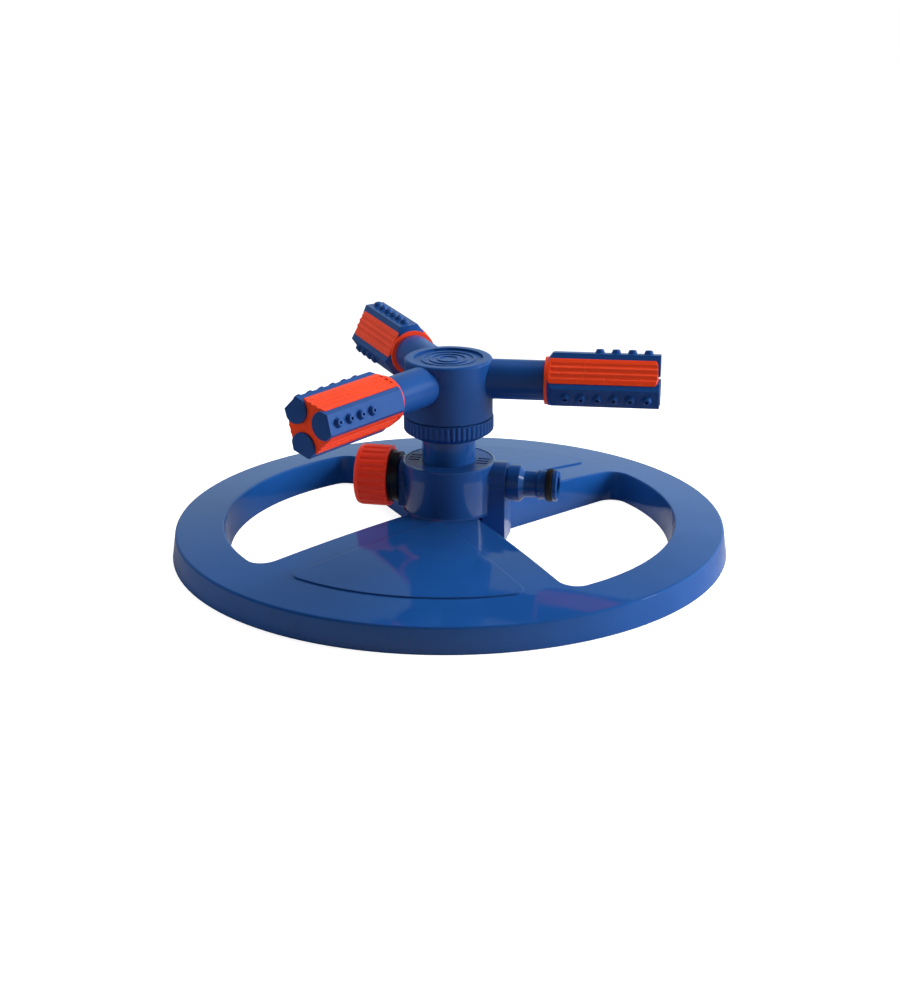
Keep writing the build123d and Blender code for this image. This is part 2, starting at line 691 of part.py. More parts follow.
def make_head_core(name):
    start = head_start()
    flange_end = start + FLANGE_THICKNESS
    end = head_end()
    core = extrude(Pos(flange_end - 0.1, 0, 0) * core_section(), amount=end - flange_end + 0.1)
    core = (core & root_envelope() & band_end(end)) + tube_x(FLANGE_R, 0, start, flange_end)
    spread = RIDGE_PITCH * (RIDGES - 2) / 2
    for i in range(3):
        core = core - Rot(120 * i, 0, 0) * bar_blank(0, flange_end, end + 1)
        for k in range(RIDGES - 1):
            at = (k * RIDGE_PITCH - spread, BAND_R + RIDGE_GROOVE_R - RIDGE_GROOVE_DEPTH)
            groove = Pos(0, at[1], at[0]) * tube_x(RIDGE_GROOVE_R, 0, flange_end + 1.5, end + 1)
            core = core - Rot(120 * i + 60, 0, 0) * groove
        port = Pos(0, SPIGOT_PORT_AT, 0) * tube_x(SPIGOT_PORT_R, 0, socket_end() - 1, bar_root() + 1)
        core = core - Rot(120 * i, 0, 0) * port
    core = core - tube_x(SPIGOT_R + RUNNING, 0, start - 1, socket_end())
    groove_start = ARM_END + CLIP_GROOVE_AT + FIT - GAP
    core = core - tube_x(clip_r() + GAP, 0, groove_start, groove_start + CLIP_THICKNESS + 2 * GAP)
    return on_arm(turned_head(core, name), name)


# ---- hose inlet ----
def make_inlet_spigot():
    points = [(-INLET_TAIL, INLET_BORE_R), (-INLET_TAIL, SOCKET_R), (0, SOCKET_R), (0, INLET_NECK_R)]
    points += list(INLET_PROFILE)
    groove_low = INLET_RING_AT - INLET_RING_WIDTH / 2 - FIT
    groove_high = INLET_RING_AT + INLET_RING_WIDTH / 2 + FIT
    floor = INLET_RING_R - INLET_RING_DEPTH
    shank = INLET_PROFILE[-1][1]
    points += [(groove_low, shank), (groove_low, floor), (groove_high, floor), (groove_high, INLET_TIP_R)]
    points += [(INLET_LENGTH, INLET_TIP_R), (INLET_LENGTH, INLET_BORE_R)]
    spigot = turned_x(points)
    tip = [e for e in spigot.edges().filter_by(GeomType.CIRCLE)
           if abs(e.radius - INLET_TIP_R) < 0.01 and e.center().X > INLET_LENGTH - 0.1]
    spigot = fillet(tip, INLET_TIP_ROUND)
    return at_port(Pos(BOSS_END, 0, 0) * spigot)


def make_spigot_oring():
    outline = Pos(INLET_RING_AT, INLET_RING_R - INLET_RING_DEPTH / 2) * RectangleRounded(
        INLET_RING_WIDTH, INLET_RING_DEPTH - FIT, 0.45 * INLET_RING_DEPTH)
    return at_port(Pos(BOSS_END, 0, 0) * revolve(outline, Axis.X))


def make_inlet_filter():
    x1 = BOSS_END - INLET_TAIL
    disc = tube_x(SOCKET_R, 0, x1 - FILTER_THICKNESS, x1)
    for ring in FILTER_RINGS:
        holes = round(4 * ring)
        for i in range(holes):
            angle = 360 * i / holes
            disc = disc - Rot(angle, 0, 0) * Pos(0, ring, 0) * tube_x(FILTER_HOLE_R, 0, x1 - 3, x1 + 1)
    return at_port(disc)


# ---- threaded outlet and cap, made towards +X and turned to -X ----
def make_outlet_nipple():
    tail = TOWER_R - NIPPLE_TAIL
    nipple = tube_x(NIPPLE_R, 0, OUTLET_BOSS_END + FIT, NIPPLE_SHOULDER + 0.1)
    nipple = nipple + tube_x(THREAD_R, 0, NIPPLE_SHOULDER, NIPPLE_END)
    nipple = nipple + tube_x(SOCKET_R, 0, tail, NIPPLE_SHOULDER)
    nipple = nipple - tube_x(GALLERY_R, 0, tail - 1, TOWER_R + 2)
    nipple = nipple - tube_x(NIPPLE_BORE_R, 0, TOWER_R + 2, NIPPLE_END + 1)
    return Rot(0, 0, 180) * at_port(nipple)


def make_cap_washer():
    start = NIPPLE_END + GAP
    washer = tube_x(CAP_WASHER_R, NIPPLE_BORE_R, start, start + CAP_WASHER_THICKNESS)
    return Rot(0, 0, 180) * at_port(washer)


def make_outlet_cap():
    outline = toothed_outline(CAP_R, CAP_R - CAP_RIB_HEIGHT, CAP_RIBS, CAP_RIB_LAND)
    blank = Rot(0, 90, 0) * extrude(Pos(0, 0, CAP_START) * outline, amount=CAP_END - CAP_START)
    rounded = [(CAP_START, 0), (CAP_START, CAP_R - CAP_LIP), (CAP_START + CAP_LIP, CAP_R)]
    for turn in range(0, 91, 15):
        angle = math.radians(turn)
        rounded.append((CAP_END - CAP_SHOULDER * (1 - math.sin(angle)),
                        CAP_R - 0.8 * CAP_SHOULDER * (1 - math.cos(angle))))
    body = blank & turned_x(rounded + [(CAP_END, 0)])
    inside_end = NIPPLE_END + GAP + CAP_WASHER_THICKNESS + FIT
    body = body - tube_x(THREAD_R + GAP, 0, CAP_START - 1, inside_end)
    return Rot(0, 0, 180) * at_port(body)


# ---- write every piece ----
pieces = {
    "base_plate": make_base_plate(),
    "inlet_housing": make_inlet_housing(),
    "tower_plate": make_tower_plate(),
    "housing_screws": make_housing_screws(),
    "spindle": make_spindle(),
    "thrust_washer": make_thrust_washer(),
    "retainer_washer": make_retainer_washer(),
    "retainer_screw": make_retainer_screw(),
    "inlet_spigot": make_inlet_spigot(),
    "spigot_oring": make_spigot_oring(),
    "inlet_filter": make_inlet_filter(),
    "outlet_nipple": make_outlet_nipple(),
    "cap_washer": make_cap_washer(),
    "outlet_cap": make_outlet_cap(),
    "collar_nut": make_collar_nut(),
    "rotor_bush": make_rotor_bush(),
    "rotor_seal": make_rotor_seal(),
    "hub_lower": make_hub_lower(),
    "hub_upper": make_hub_upper(),
    "hub_cap": make_hub_cap(),
}
for arm in ARM_AZIMUTHS:
    pieces["arm_" + arm] = make_arm(arm)
    pieces["head_oring_" + arm] = make_head_oring(arm)
    pieces["head_clip_" + arm] = make_head_clip(arm)
    pieces["selector_seal_" + arm] = make_selector_seal(arm)
    pieces["head_core_" + arm] = make_head_core(arm)
    for bar in JETS:
        pieces["bar_" + bar + "_" + arm] = make_bar(arm, bar)

os.makedirs("parts", exist_ok=True)
for node, solid in pieces.items():
    export_step(solid, os.path.join("parts", node + ".step"))
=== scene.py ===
# %% [markdown]
# # A rotary garden sprinkler
#
# The sprinkler is a ring base with a port tower, a spinning hub with three arms, and on each arm a head that
# turns to bring one of three jet bars to the top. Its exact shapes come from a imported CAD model. This lesson
# gives them their finish: glossy and satin moulded plastic, rubber and steel. Two grips are worked out again
# here, because light shows more in them than a CAD solid holds.

# %% Load the frame
import math

import bpy
import numpy as np
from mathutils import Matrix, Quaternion, Vector


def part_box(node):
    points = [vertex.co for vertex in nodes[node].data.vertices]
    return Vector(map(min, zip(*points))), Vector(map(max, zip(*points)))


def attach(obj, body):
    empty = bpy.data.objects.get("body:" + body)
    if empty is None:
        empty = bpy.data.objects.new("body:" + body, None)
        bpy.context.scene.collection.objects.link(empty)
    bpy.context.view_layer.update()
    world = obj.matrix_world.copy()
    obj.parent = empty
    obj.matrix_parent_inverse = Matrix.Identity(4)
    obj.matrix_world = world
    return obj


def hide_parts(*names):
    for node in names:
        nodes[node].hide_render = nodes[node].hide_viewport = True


MM = 0.001

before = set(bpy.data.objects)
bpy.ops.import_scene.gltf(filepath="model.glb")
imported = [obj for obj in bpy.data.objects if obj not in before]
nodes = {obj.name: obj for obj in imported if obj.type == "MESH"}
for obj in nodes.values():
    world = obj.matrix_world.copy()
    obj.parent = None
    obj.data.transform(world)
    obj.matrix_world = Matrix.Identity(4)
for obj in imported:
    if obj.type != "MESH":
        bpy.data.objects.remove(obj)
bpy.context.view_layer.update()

# %% [markdown]
# ## Wires
#
# A material is a net of nodes. Written as a list of nodes and links it is hard to read, so a small class
# wraps a socket and gives it arithmetic. `1 - mask` then adds a Math node, and everything else goes through
# one method, `add`.


# %% Sockets with arithmetic
class Wire:
    """A number coming out of a node. Arithmetic on it adds Math nodes."""

    def __init__(self, net, socket):
        self.net, self.socket = net, socket

    def _math(self, operation, first, second):
        return self.net.add("ShaderNodeMath", {"operation": operation}, {0: first, 1: second})

    def __add__(self, other):
        return self._math("ADD", self, other)

    def __radd__(self, other):
        return self._math("ADD", other, self)

    def __sub__(self, other):
        return self._math("SUBTRACT", self, other)

    def __rsub__(self, other):
        return self._math("SUBTRACT", other, self)

    def __mul__(self, other):
        return self._math("MULTIPLY", self, other)

    def __rmul__(self, other):
        return self._math("MULTIPLY", other, self)


# %% A net of nodes
class Net:
    """The node tree of a material or of the world."""

    def __init__(self, owner):
        owner.use_nodes = True
        self.tree = owner.node_tree
        self.tree.nodes.clear()

    def add(self, kind, settings=None, inputs=None, out=0):
        """Adds a node, its settings first, then the values or wires of its sockets, and gives one output."""
        node = self.tree.nodes.new(kind)
        for name, value in (settings or {}).items():
            setattr(node, name, value)
        for name, value in (inputs or {}).items():
            if isinstance(value, Wire):
                self.tree.links.new(value.socket, node.inputs[name])
            else:
                node.inputs[name].default_value = value
        return Wire(self, node.outputs[out]) if node.outputs else node


# %% [markdown]
# ## Colours
#
# Colours are written as they look on a screen, from 0 to 255, and turned into the linear light that Blender
# mixes. The formula is the sRGB curve.


# %% Screen colours to linear light
def screen(red, green, blue, alpha=1.0):
    """The linear colour of a screen colour: c / 12.92 up to 0.04, else ((c + 0.055) / 1.055) ** 2.4."""
    channels = [c / 255 for c in (red, green, blue)]
    linear = [c / 12.92 if c <= 0.04045 else ((c + 0.055) / 1.055) ** 2.4 for c in channels]
    return (*linear, alpha)


# %% [markdown]
# ## Moulded plastic
#
# Almost every piece is a moulded plastic. It is one colour all through, but it never looks like paint from a
# tin: the melt leaves faint clouds, the mould's skin prints a fine grain, large flat faces sink in slow
# waves, handling leaves dull rubs, and every edge is a little round. A plain colour with one roughness would
# miss all of it. Here the clouds, waves and rubs are slow noise, the grain is fast noise, and the round edges
# come from a Bevel node, so the same builder serves every piece.
#
# Two extras serve a few of them. The tower has a smooth, clear skin over its satin blue, which is a coat. The
# orange and the red get a painted glow: a little emission of their own colour that brightens their shaded
# faces.


# %% Noise and ramps
def object_point(net, scale=(1.0, 1.0, 1.0)):
    """The place on the object, in metres, stretched by a scale for each axis."""
    place = net.add("ShaderNodeTexCoord", out=3)
    return net.add("ShaderNodeMapping", inputs={"Vector": place, "Scale": scale})


def noise(net, point, scale, detail=2.0, roughness=0.5):
    """Soft noise from 0 to 1, with about `scale` blots to a metre."""
    return net.add("ShaderNodeTexNoise", inputs={
        "Vector": point, "Scale": scale, "Detail": detail, "Roughness": roughness})


def ramp(net, value, low, high):
    """A wire that goes from 0 to 1 as value goes from low to high, with soft ends."""
    return net.add("ShaderNodeMapRange", {"interpolation_type": "SMOOTHSTEP"}, {
        "Value": value, "From Min": low, "From Max": high})


# %% The plastic builder
CLOUDS_PER_M, RUBS_PER_M, GRAINS_PER_M, WAVES_PER_M = 38.0, 120.0, 900.0, 110.0
CLOUD_SPAN, RUB_SPAN = (0.3, 0.7), (0.5, 0.75)
SKIN_HEIGHT, SKIN_STRENGTH = 0.5 * MM, 0.5
PLASTIC_IOR = 1.5
POLISH_ROUGHNESS, POLISH_IOR = 0.04, 1.65


def plastic(name, colour, gloss, cloud, grain, rub, edge, wave=0.0, polish=0.0, painted_glow=0.0):
    """A moulded plastic.

    gloss is the roughness where it is clean and rub what the rubs add, cloud the share by which the clouds
    change the colour, grain and wave the heights of the relief, edge the rounding of its edges in mm, polish
    the share of a clear smooth skin over it, and the last the strength of a painted glow: an emission of its
    own colour that brightens its shaded faces."""
    material = bpy.data.materials.new(name)
    net = Net(material)
    point = object_point(net)
    clouds = ramp(net, noise(net, point, CLOUDS_PER_M, 3.0), *CLOUD_SPAN)
    dark = tuple(c * (1 - cloud) for c in colour[:3]) + (1.0,)
    light = tuple(min(1.0, c * (1 + cloud)) for c in colour[:3]) + (1.0,)
    tint = net.add("ShaderNodeMix", {"data_type": "RGBA"}, {"Factor": clouds, 6: dark, 7: light}, out=2)
    rubs = ramp(net, noise(net, point, RUBS_PER_M, 5.0, 0.65), *RUB_SPAN)
    roughness = gloss + rubs * rub
    round_edge = net.add("ShaderNodeBevel", {"samples": 6}, {"Radius": edge * MM})
    skin = noise(net, point, GRAINS_PER_M) * grain
    if wave:
        skin = skin + noise(net, point, WAVES_PER_M, 1.0) * wave
    relief = net.add("ShaderNodeBump", inputs={
        "Strength": SKIN_STRENGTH, "Distance": SKIN_HEIGHT, "Height": skin, "Normal": round_edge})
    # The emission is painted light: a glow of the plastic's own colour that brightens its shaded faces.
    surface = net.add("ShaderNodeBsdfPrincipled", inputs={
        "Base Color": tint, "Roughness": roughness, "Normal": relief, "IOR": PLASTIC_IOR,
        "Coat Weight": polish, "Coat Roughness": POLISH_ROUGHNESS, "Coat IOR": POLISH_IOR,
        "Emission Color": colour, "Emission Strength": painted_glow})
    net.add("ShaderNodeOutputMaterial", inputs={"Surface": surface})
    return material


# %% The blues: glossy base, satin arms and hub, polished tower
blue_gloss = plastic("blue_gloss_plastic", screen(26, 78, 148), 0.05,
                     cloud=0.04, grain=0.02, rub=0.05, edge=0.5, wave=0.15)
blue_satin = plastic("blue_satin_plastic", screen(26, 76, 146), 0.29,
                     cloud=0.05, grain=0.05, rub=0.06, edge=0.4)
blue_polished = plastic("blue_polished_plastic", screen(26, 76, 146), 0.34,
                        cloud=0.05, grain=0.02, rub=0.08, edge=0.4, wave=0.1, polish=1.0)

# %% The bright pigments, with a painted glow: orange heads and red cap
# Both carry a painted glow, an emission that brightens their shaded faces.
orange = plastic("orange_plastic", screen(228, 63, 25), 0.26,
                 cloud=0.05, grain=0.04, rub=0.04, edge=0.4, painted_glow=0.19)
cap_red = plastic("cap_red_plastic", screen(218, 51, 29), 0.28,
                  cloud=0.05, grain=0.06, rub=0.08, edge=0.4, painted_glow=0.24)

# %% The small pieces: black nipple, rubber rings, white bush
black_plastic = plastic("black_plastic", screen(9, 13, 22), 0.3, cloud=0.1, grain=0.1, rub=0.1, edge=0.3)
rubber = plastic("rubber", screen(30, 26, 25), 0.62, cloud=0.15, grain=0.4, rub=0.1, edge=0.2)
acetal = plastic("white_acetal", screen(226, 226, 220), 0.42, cloud=0.02, grain=0.1, rub=0.06, edge=0.3)
print(len(bpy.data.materials), "materials, the CAD's plain ones among them")

# %% [markdown]
# ## Steel
#
# The screws, washers and clips are zinc-plated steel. Turning leaves fine rings on them, which stretch the
# highlight, and the plating is a little patchy. A picture of brushed metal would need a UV map on each small
# piece. Noise that is squeezed along Z, the axis of the screws and washers, gives the rings without one.

# %% Zinc-plated steel
STREAKS_PER_M, STREAK_SQUEEZE = 300.0, 14.0
PATCHES_PER_M, PATCH_SPAN = 160.0, (0.35, 0.7)
STREAK_HEIGHT, STREAK_STRENGTH = 0.2 * MM, 0.25
STEEL_GLOSS, STREAK_GLOSS = 0.22, 0.2


def plated_steel():
    """Steel with a streaky roughness and two shades of plating."""
    material = bpy.data.materials.new("zinc_plated_steel")
    net = Net(material)
    streaks = noise(net, object_point(net, (1.0, 1.0, STREAK_SQUEEZE)), STREAKS_PER_M, 3.0)
    patches = ramp(net, noise(net, object_point(net), PATCHES_PER_M, 3.0), *PATCH_SPAN)
    tint = net.add("ShaderNodeMix", {"data_type": "RGBA"}, {
        "Factor": patches, 6: screen(168, 170, 174), 7: screen(206, 206, 204)}, out=2)
    relief = net.add("ShaderNodeBump", inputs={
        "Strength": STREAK_STRENGTH, "Distance": STREAK_HEIGHT, "Height": streaks})
    surface = net.add("ShaderNodeBsdfPrincipled", inputs={
        "Base Color": tint, "Metallic": 1.0, "Roughness": STEEL_GLOSS + streaks * STREAK_GLOSS,
        "Normal": relief})
    net.add("ShaderNodeOutputMaterial", inputs={"Surface": surface})
    return material


steel = plated_steel()

# %% [markdown]
# ## Which piece has which finish
#
# The record names a finish for each CAD node. The same names pick the materials here, so a node can't be left
# with a flat colour. The tower is the one exception: the record gives it the satin blue of the arms, and its
# polished skin is put on by name.

# %% Put the finishes on the nodes
FINISHES = {
    "blue_gloss": blue_gloss, "blue_satin": blue_satin, "orange": orange, "cap_red": cap_red,
    "black_plastic": black_plastic, "rubber": rubber, "steel": steel, "white_plastic": acetal,
}
for node in nodes.values():
    for material_slot in node.material_slots:
        material_slot.material = FINISHES[material_slot.material.name.split(".")[0]]
nodes["inlet_housing"].material_slots[0].material = blue_polished
print(len(FINISHES), "finishes of the record, and the tower's own")

# %% [markdown]
# ## Grips
#
# The cap and the collar are turned by hand, so both are ribbed all round. Moulded ribs aren't flats with
# sharp corners: each groove is a soft hollow that fades out before it meets a shoulder, and the shoulder
# itself is round. A stack of modifiers could cut and round them, but the fade would be hard to steer. Here
# both are worked out as a surface of revolution whose radius dips in every groove, and they stand for the
# plain CAD pieces.


# %% A profile with round corners
def round_corners(corners, steps=5):
    """Turns corners of (height, radius, setback, grip) into rows of (height, radius, grip).

    A corner with a setback s becomes the curve (1-t)^2 a + 2t(1-t) c + t^2 b, where c is the corner and a and
    b lie at s from it on the two straight lines that meet there."""
    rows = []
    for index, (height, radius, setback, grip) in enumerate(corners):
        corner = np.array([height, radius])
        if setback == 0:
            rows.append((height, radius, grip))
            continue
        ends = []
        for other in (corners[index - 1], corners[(index + 1) % len(corners)]):
            step = np.array(other[:2]) - corner
            ends.append(corner + step / np.linalg.norm(step) * setback)
        for t in np.linspace(0, 1, steps):
            point = (1 - t) ** 2 * ends[0] + 2 * t * (1 - t) * corner + t ** 2 * ends[1]
            rows.append((point[0], point[1], grip))
    return np.array(rows)


# %% Faces between rings
def faces_between(rings, around, closed):
    """Four-sided faces between neighbouring rings of `around` points each.

    A face is (ring, i), (ring, i+1), (next ring, i+1), (next ring, i). With closed, the last ring joins the
    first."""
    ring = np.arange(rings if closed else rings - 1)[:, None] * around
    following = (ring + around) % (rings * around)
    here = np.arange(around)[None, :]
    after = (here + 1) % around
    return np.stack([ring + here, ring + after, following + after, following + here], -1).reshape(-1, 4)


# %% A ribbed body of revolution
def ribbed(rows, ribs, depth, share, per_rib=12):
    """Points and faces of a body turned about an axis, with a groove between every two ribs.

    At the angle t the radius is R - depth g(t) grip, with g(t) = cos(pi u / share)^2 while |u| < share / 2,
    and else 0. Here u is the distance from the middle of the nearest groove, as a part of the pitch. A
    profile that starts and ends on the axis is closed there, and any other one joins up with itself."""
    turn = np.arange(ribs * per_rib) / (ribs * per_rib)
    from_groove = (turn * ribs + 0.5) % 1.0 - 0.5
    groove = np.where(np.abs(from_groove) < share / 2, np.cos(np.pi * from_groove / share) ** 2, 0.0)
    capped = rows[0, 1] == 0
    body = rows[1:-1] if capped else rows
    height = np.repeat(body[:, :1], len(turn), axis=1)
    radius = body[:, 1:2] - depth * groove[None, :] * body[:, 2:3]
    angle = 2 * np.pi * turn[None, :]
    points = np.stack([height, radius * np.cos(angle), radius * np.sin(angle)], -1).reshape(-1, 3)
    faces = faces_between(len(body), len(turn), closed=not capped).tolist()
    if capped:
        here = np.arange(len(turn))
        after = (here + 1) % len(turn)
        last_ring = (len(body) - 1) * len(turn)
        first_pole, last_pole = np.full(len(turn), len(points)), np.full(len(turn), len(points) + 1)
        faces += np.stack([first_pole, after, here], -1).tolist()
        faces += np.stack([last_pole, last_ring + here, last_ring + after], -1).tolist()
        points = np.vstack([points, [[rows[0, 0], 0, 0]], [[rows[-1, 0], 0, 0]]])
    return points, faces


# %% A mesh that stands for a CAD node
CREASE = math.radians(35.0)


def stand_for(node, points, faces, body, slot):
    """Makes a smooth piece out of points and faces, puts it on a body and hides the CAD node."""
    mesh = bpy.data.meshes.new(node + "_surface")
    mesh.from_pydata(points.tolist(), [], faces)
    mesh.shade_smooth()
    mesh.set_sharp_from_angle(angle=CREASE)
    mesh.materials.append(FINISHES[slot])
    piece = bpy.data.objects.new(node + "_surface", mesh)
    bpy.context.scene.collection.objects.link(piece)
    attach(piece, body)
    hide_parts(node)
    print(piece.name, len(mesh.polygons), "faces")


# %% [markdown]
# ## The cap of the outlet
#
# The red cap closes the second outlet. Its profile runs from the middle of the end face over a round smooth
# shoulder, along the ribbed side to the open end, and back inside to the floor of the bore. The places along
# its axis are measured from its far end, which is the closed one, and from its near end at the tower.

# %% The cap's profile and ribs
CAP_RIBS, CAP_RIB_DEPTH, CAP_GROOVE_SHARE = 22, 0.9 * MM, 0.5
CAP_FACE_INSET, CAP_FACE_ROUND = 1.9 * MM, 0.3 * MM
CAP_SHOULDER_PLACE, CAP_SHOULDER_INSET, CAP_SHOULDER_ROUND = 0.6 * MM, 0.55 * MM, 0.6 * MM
CAP_SIDE_START, CAP_SIDE_ROUND, CAP_RIBS_START = 2.4 * MM, 0.4 * MM, 3.4 * MM
CAP_RIBS_FADE, CAP_RIBS_FAINT, CAP_MOUTH_ROUND = 1.2 * MM, 0.5 * MM, 0.3 * MM
THREAD_GAP, WASHER_GAP = 0.3 * MM, 0.1 * MM

cap_low, cap_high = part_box("outlet_cap")
port_height = (cap_low[2] + cap_high[2]) / 2
cap_r = (cap_high[1] - cap_low[1]) / 2
cap_near, cap_far = -cap_high[0], -cap_low[0]
cap_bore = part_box("outlet_nipple")[1][1] + THREAD_GAP
cap_floor = -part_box("cap_washer")[0][0] + WASHER_GAP
cap_rows = round_corners([
    (cap_far, 0.0, 0, 0),
    (cap_far, cap_r - CAP_FACE_INSET, CAP_FACE_ROUND, 0),
    (cap_far - CAP_SHOULDER_PLACE, cap_r - CAP_SHOULDER_INSET, CAP_SHOULDER_ROUND, 0),
    (cap_far - CAP_SIDE_START, cap_r, CAP_SIDE_ROUND, 0),
    (cap_far - CAP_RIBS_START, cap_r, 0, 1),
    (cap_near + CAP_RIBS_FADE, cap_r, 0, 1),
    (cap_near + CAP_RIBS_FAINT, cap_r, 0, 0.3),
    (cap_near, cap_r, CAP_SIDE_ROUND, 0),
    (cap_near, cap_bore, CAP_MOUTH_ROUND, 0),
    (cap_floor, cap_bore, 0, 0),
    (cap_floor, 0.0, 0, 0),
])

# %% The cap, mirrored because it points to the left
cap_points, cap_faces = ribbed(cap_rows, CAP_RIBS, CAP_RIB_DEPTH, CAP_GROOVE_SHARE)
cap_points = cap_points * (-1, 1, 1) + (0, 0, port_height)
stand_for("outlet_cap", cap_points, cap_faces, "cap", "cap_red")

# %% [markdown]
# ## The collar nut
#
# The collar under the hub holds the rotor on its bush. It is a cone at its foot, fine teeth above it, and a
# lip that is set back under the hub, so a dark line runs round between the two. Its inside is stepped: a wide
# seat for the bush and a narrower bore.

# %% The collar's profile and teeth
COLLAR_TEETH, COLLAR_TOOTH_DEPTH, COLLAR_GROOVE_SHARE, POINTS_PER_TOOTH = 52, 0.6 * MM, 0.8, 8
COLLAR_SEAT_R, COLLAR_BORE_R = 18.6 * MM, 14.1 * MM
COLLAR_FOOT_INSET, COLLAR_FOOT_ROUND = 4.9 * MM, 0.6 * MM
COLLAR_CONE_PLACE, COLLAR_CONE_INSET = 1.0 * MM, 3.2 * MM
COLLAR_SIDE_START, COLLAR_SIDE_ROUND = 3.0 * MM, 1.1 * MM
COLLAR_TEETH_END, COLLAR_TEETH_FADE = 1.7 * MM, 1.0 * MM
COLLAR_LIP_PLACE, COLLAR_LIP_INSET = 0.6 * MM, 1.5 * MM
COLLAR_LEDGE_INSET, COLLAR_LEDGE_ROUND = 0.1 * MM, 0.2 * MM

collar_low, collar_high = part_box("collar_nut")
collar_r = collar_high[0]
collar_foot, collar_rim = collar_low[2], collar_high[2]
collar_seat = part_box("rotor_bush")[0][2]
collar_rows = round_corners([
    (collar_foot, COLLAR_BORE_R, 0, 0),
    (collar_foot, collar_r - COLLAR_FOOT_INSET, COLLAR_FOOT_ROUND, 0),
    (collar_foot + COLLAR_CONE_PLACE, collar_r - COLLAR_CONE_INSET, 0, 0.8),
    (collar_foot + COLLAR_SIDE_START, collar_r, COLLAR_SIDE_ROUND, 1),
    (collar_rim - COLLAR_TEETH_END, collar_r, 0, 1),
    (collar_rim - COLLAR_TEETH_FADE, collar_r, 0, 0.4),
    (collar_rim - COLLAR_LIP_PLACE, collar_r - COLLAR_LEDGE_INSET, COLLAR_LEDGE_ROUND, 0),
    (collar_rim - COLLAR_LIP_PLACE, collar_r - COLLAR_LIP_INSET, 0, 0),
    (collar_rim, collar_r - COLLAR_LIP_INSET, 0, 0),
    (collar_rim, COLLAR_SEAT_R, 0, 0),
    (collar_seat, COLLAR_SEAT_R, 0, 0),
    (collar_seat, COLLAR_BORE_R, 0, 0),
])

# %% The collar, turned upright
collar_points, collar_faces = ribbed(
    collar_rows, COLLAR_TEETH, COLLAR_TOOTH_DEPTH, COLLAR_GROOVE_SHARE, POINTS_PER_TOOTH)
collar_points = collar_points[:, [1, 2, 0]]
stand_for("collar_nut", collar_points, collar_faces, "rotor", "blue_satin")

# %% [markdown]
# ## The floor
#
# The sprinkler stands on a pale floor that runs into a white backdrop. A floor bright enough to look white
# would throw too much light up at the object, so its colour is only pale, and a glow that the camera alone
# sees makes it white. The near floor keeps the soft shadow. Glossy plastic is mostly a picture of its room,
# so what the floor gives to reflections is planned apart: dim close to the base, and brighter far away and to
# the right.

# %% The floor's shape, three rings about the object
FLOOR_RINGS, FLOOR_TURNS = (0.5, 1.5, 6.0), 96
radius, angle = np.meshgrid(
    FLOOR_RINGS, np.linspace(0, 2 * np.pi, FLOOR_TURNS, endpoint=False), indexing="ij")
floor_points = np.vstack([[[0, 0, 0]], np.stack(
    [radius * np.cos(angle), radius * np.sin(angle), np.zeros_like(angle)], -1).reshape(-1, 3)])
here = np.arange(FLOOR_TURNS)
inner = np.stack([np.zeros_like(here), 1 + here, 1 + (here + 1) % FLOOR_TURNS], -1)
outer = 1 + faces_between(len(FLOOR_RINGS), FLOOR_TURNS, closed=False)[:, [0, 3, 2, 1]]
floor_mesh = bpy.data.meshes.new("floor")
floor_mesh.from_pydata(floor_points.tolist(), [], inner.tolist() + outer.tolist())
floor = bpy.data.objects.new("floor", floor_mesh)
bpy.context.scene.collection.objects.link(floor)
print("floor", len(floor_mesh.polygons), "faces")

# %% The floor's zones
# Some zones fade in between two distances from the middle, in metres, and others along X or Y.
BASE_EDGE, WHITENING, MIRROR_GLOW = (0.13, 0.15), (0.17, 0.36), (0.20, 0.55)
RIGHT_SIDE, BACK_SIDE, REAR_HALF, LEFT_HALF = (-0.25, 0.45), (-0.2, 0.8), (-0.15, 0.15), (0.0, -0.06)

paper = bpy.data.materials.new("floor_paper")
floor_mesh.materials.append(paper)
net = Net(paper)
place = net.add("ShaderNodeTexCoord", out=3)
to_right, to_back = [net.add("ShaderNodeSeparateXYZ", inputs={"Vector": place}, out=name) for name in "XY"]
away = net.add("ShaderNodeVectorMath", {"operation": "LENGTH"}, {0: place}, out=1)
outside, beyond, far = [ramp(net, away, *span) for span in (BASE_EDGE, WHITENING, MIRROR_GLOW)]
rightness = ramp(net, to_right, *RIGHT_SIDE)
behind_left = (1 - rightness) * ramp(net, to_back, *REAR_HALF)
under_left = (1 - outside) * ramp(net, to_right, *LEFT_HALF)

# %% The floor's paper, and how much of it reflections see
NEAR_PALE, FAR_PALE = 0.72, 0.10
DIM_OUTSIDE, DIM_BEHIND_LEFT, LESS_DIM_RIGHT, DIM_UNDER_LEFT = 0.5, 0.45, 0.15, 0.45

eye, mirror_ray, clear_ray = [net.add("ShaderNodeLightPath", out=name) for name in (
    "Is Camera Ray", "Is Glossy Ray", "Is Transmission Ray")]
pale = net.add("ShaderNodeMix", {"data_type": "RGBA"}, {
    "Factor": beyond, 6: (NEAR_PALE, NEAR_PALE, NEAR_PALE, 1.0), 7: (FAR_PALE, FAR_PALE, FAR_PALE, 1.0)},
    out=2)
dimmed = outside * (DIM_OUTSIDE + behind_left * DIM_BEHIND_LEFT - rightness * LESS_DIM_RIGHT)
dimmed = dimmed + under_left * DIM_UNDER_LEFT
pale = net.add("ShaderNodeMix", {"data_type": "RGBA"}, {
    "Factor": dimmed * mirror_ray, 6: pale, 7: (0.0, 0.0, 0.0, 1.0)}, out=2)

# %% The floor's glow
NEAR_WHITE, FAR_WHITE = 0.8, 1.0
GLOW_EVEN, GLOW_RIGHT, GLOW_BACK = 0.06, 0.38, 0.12

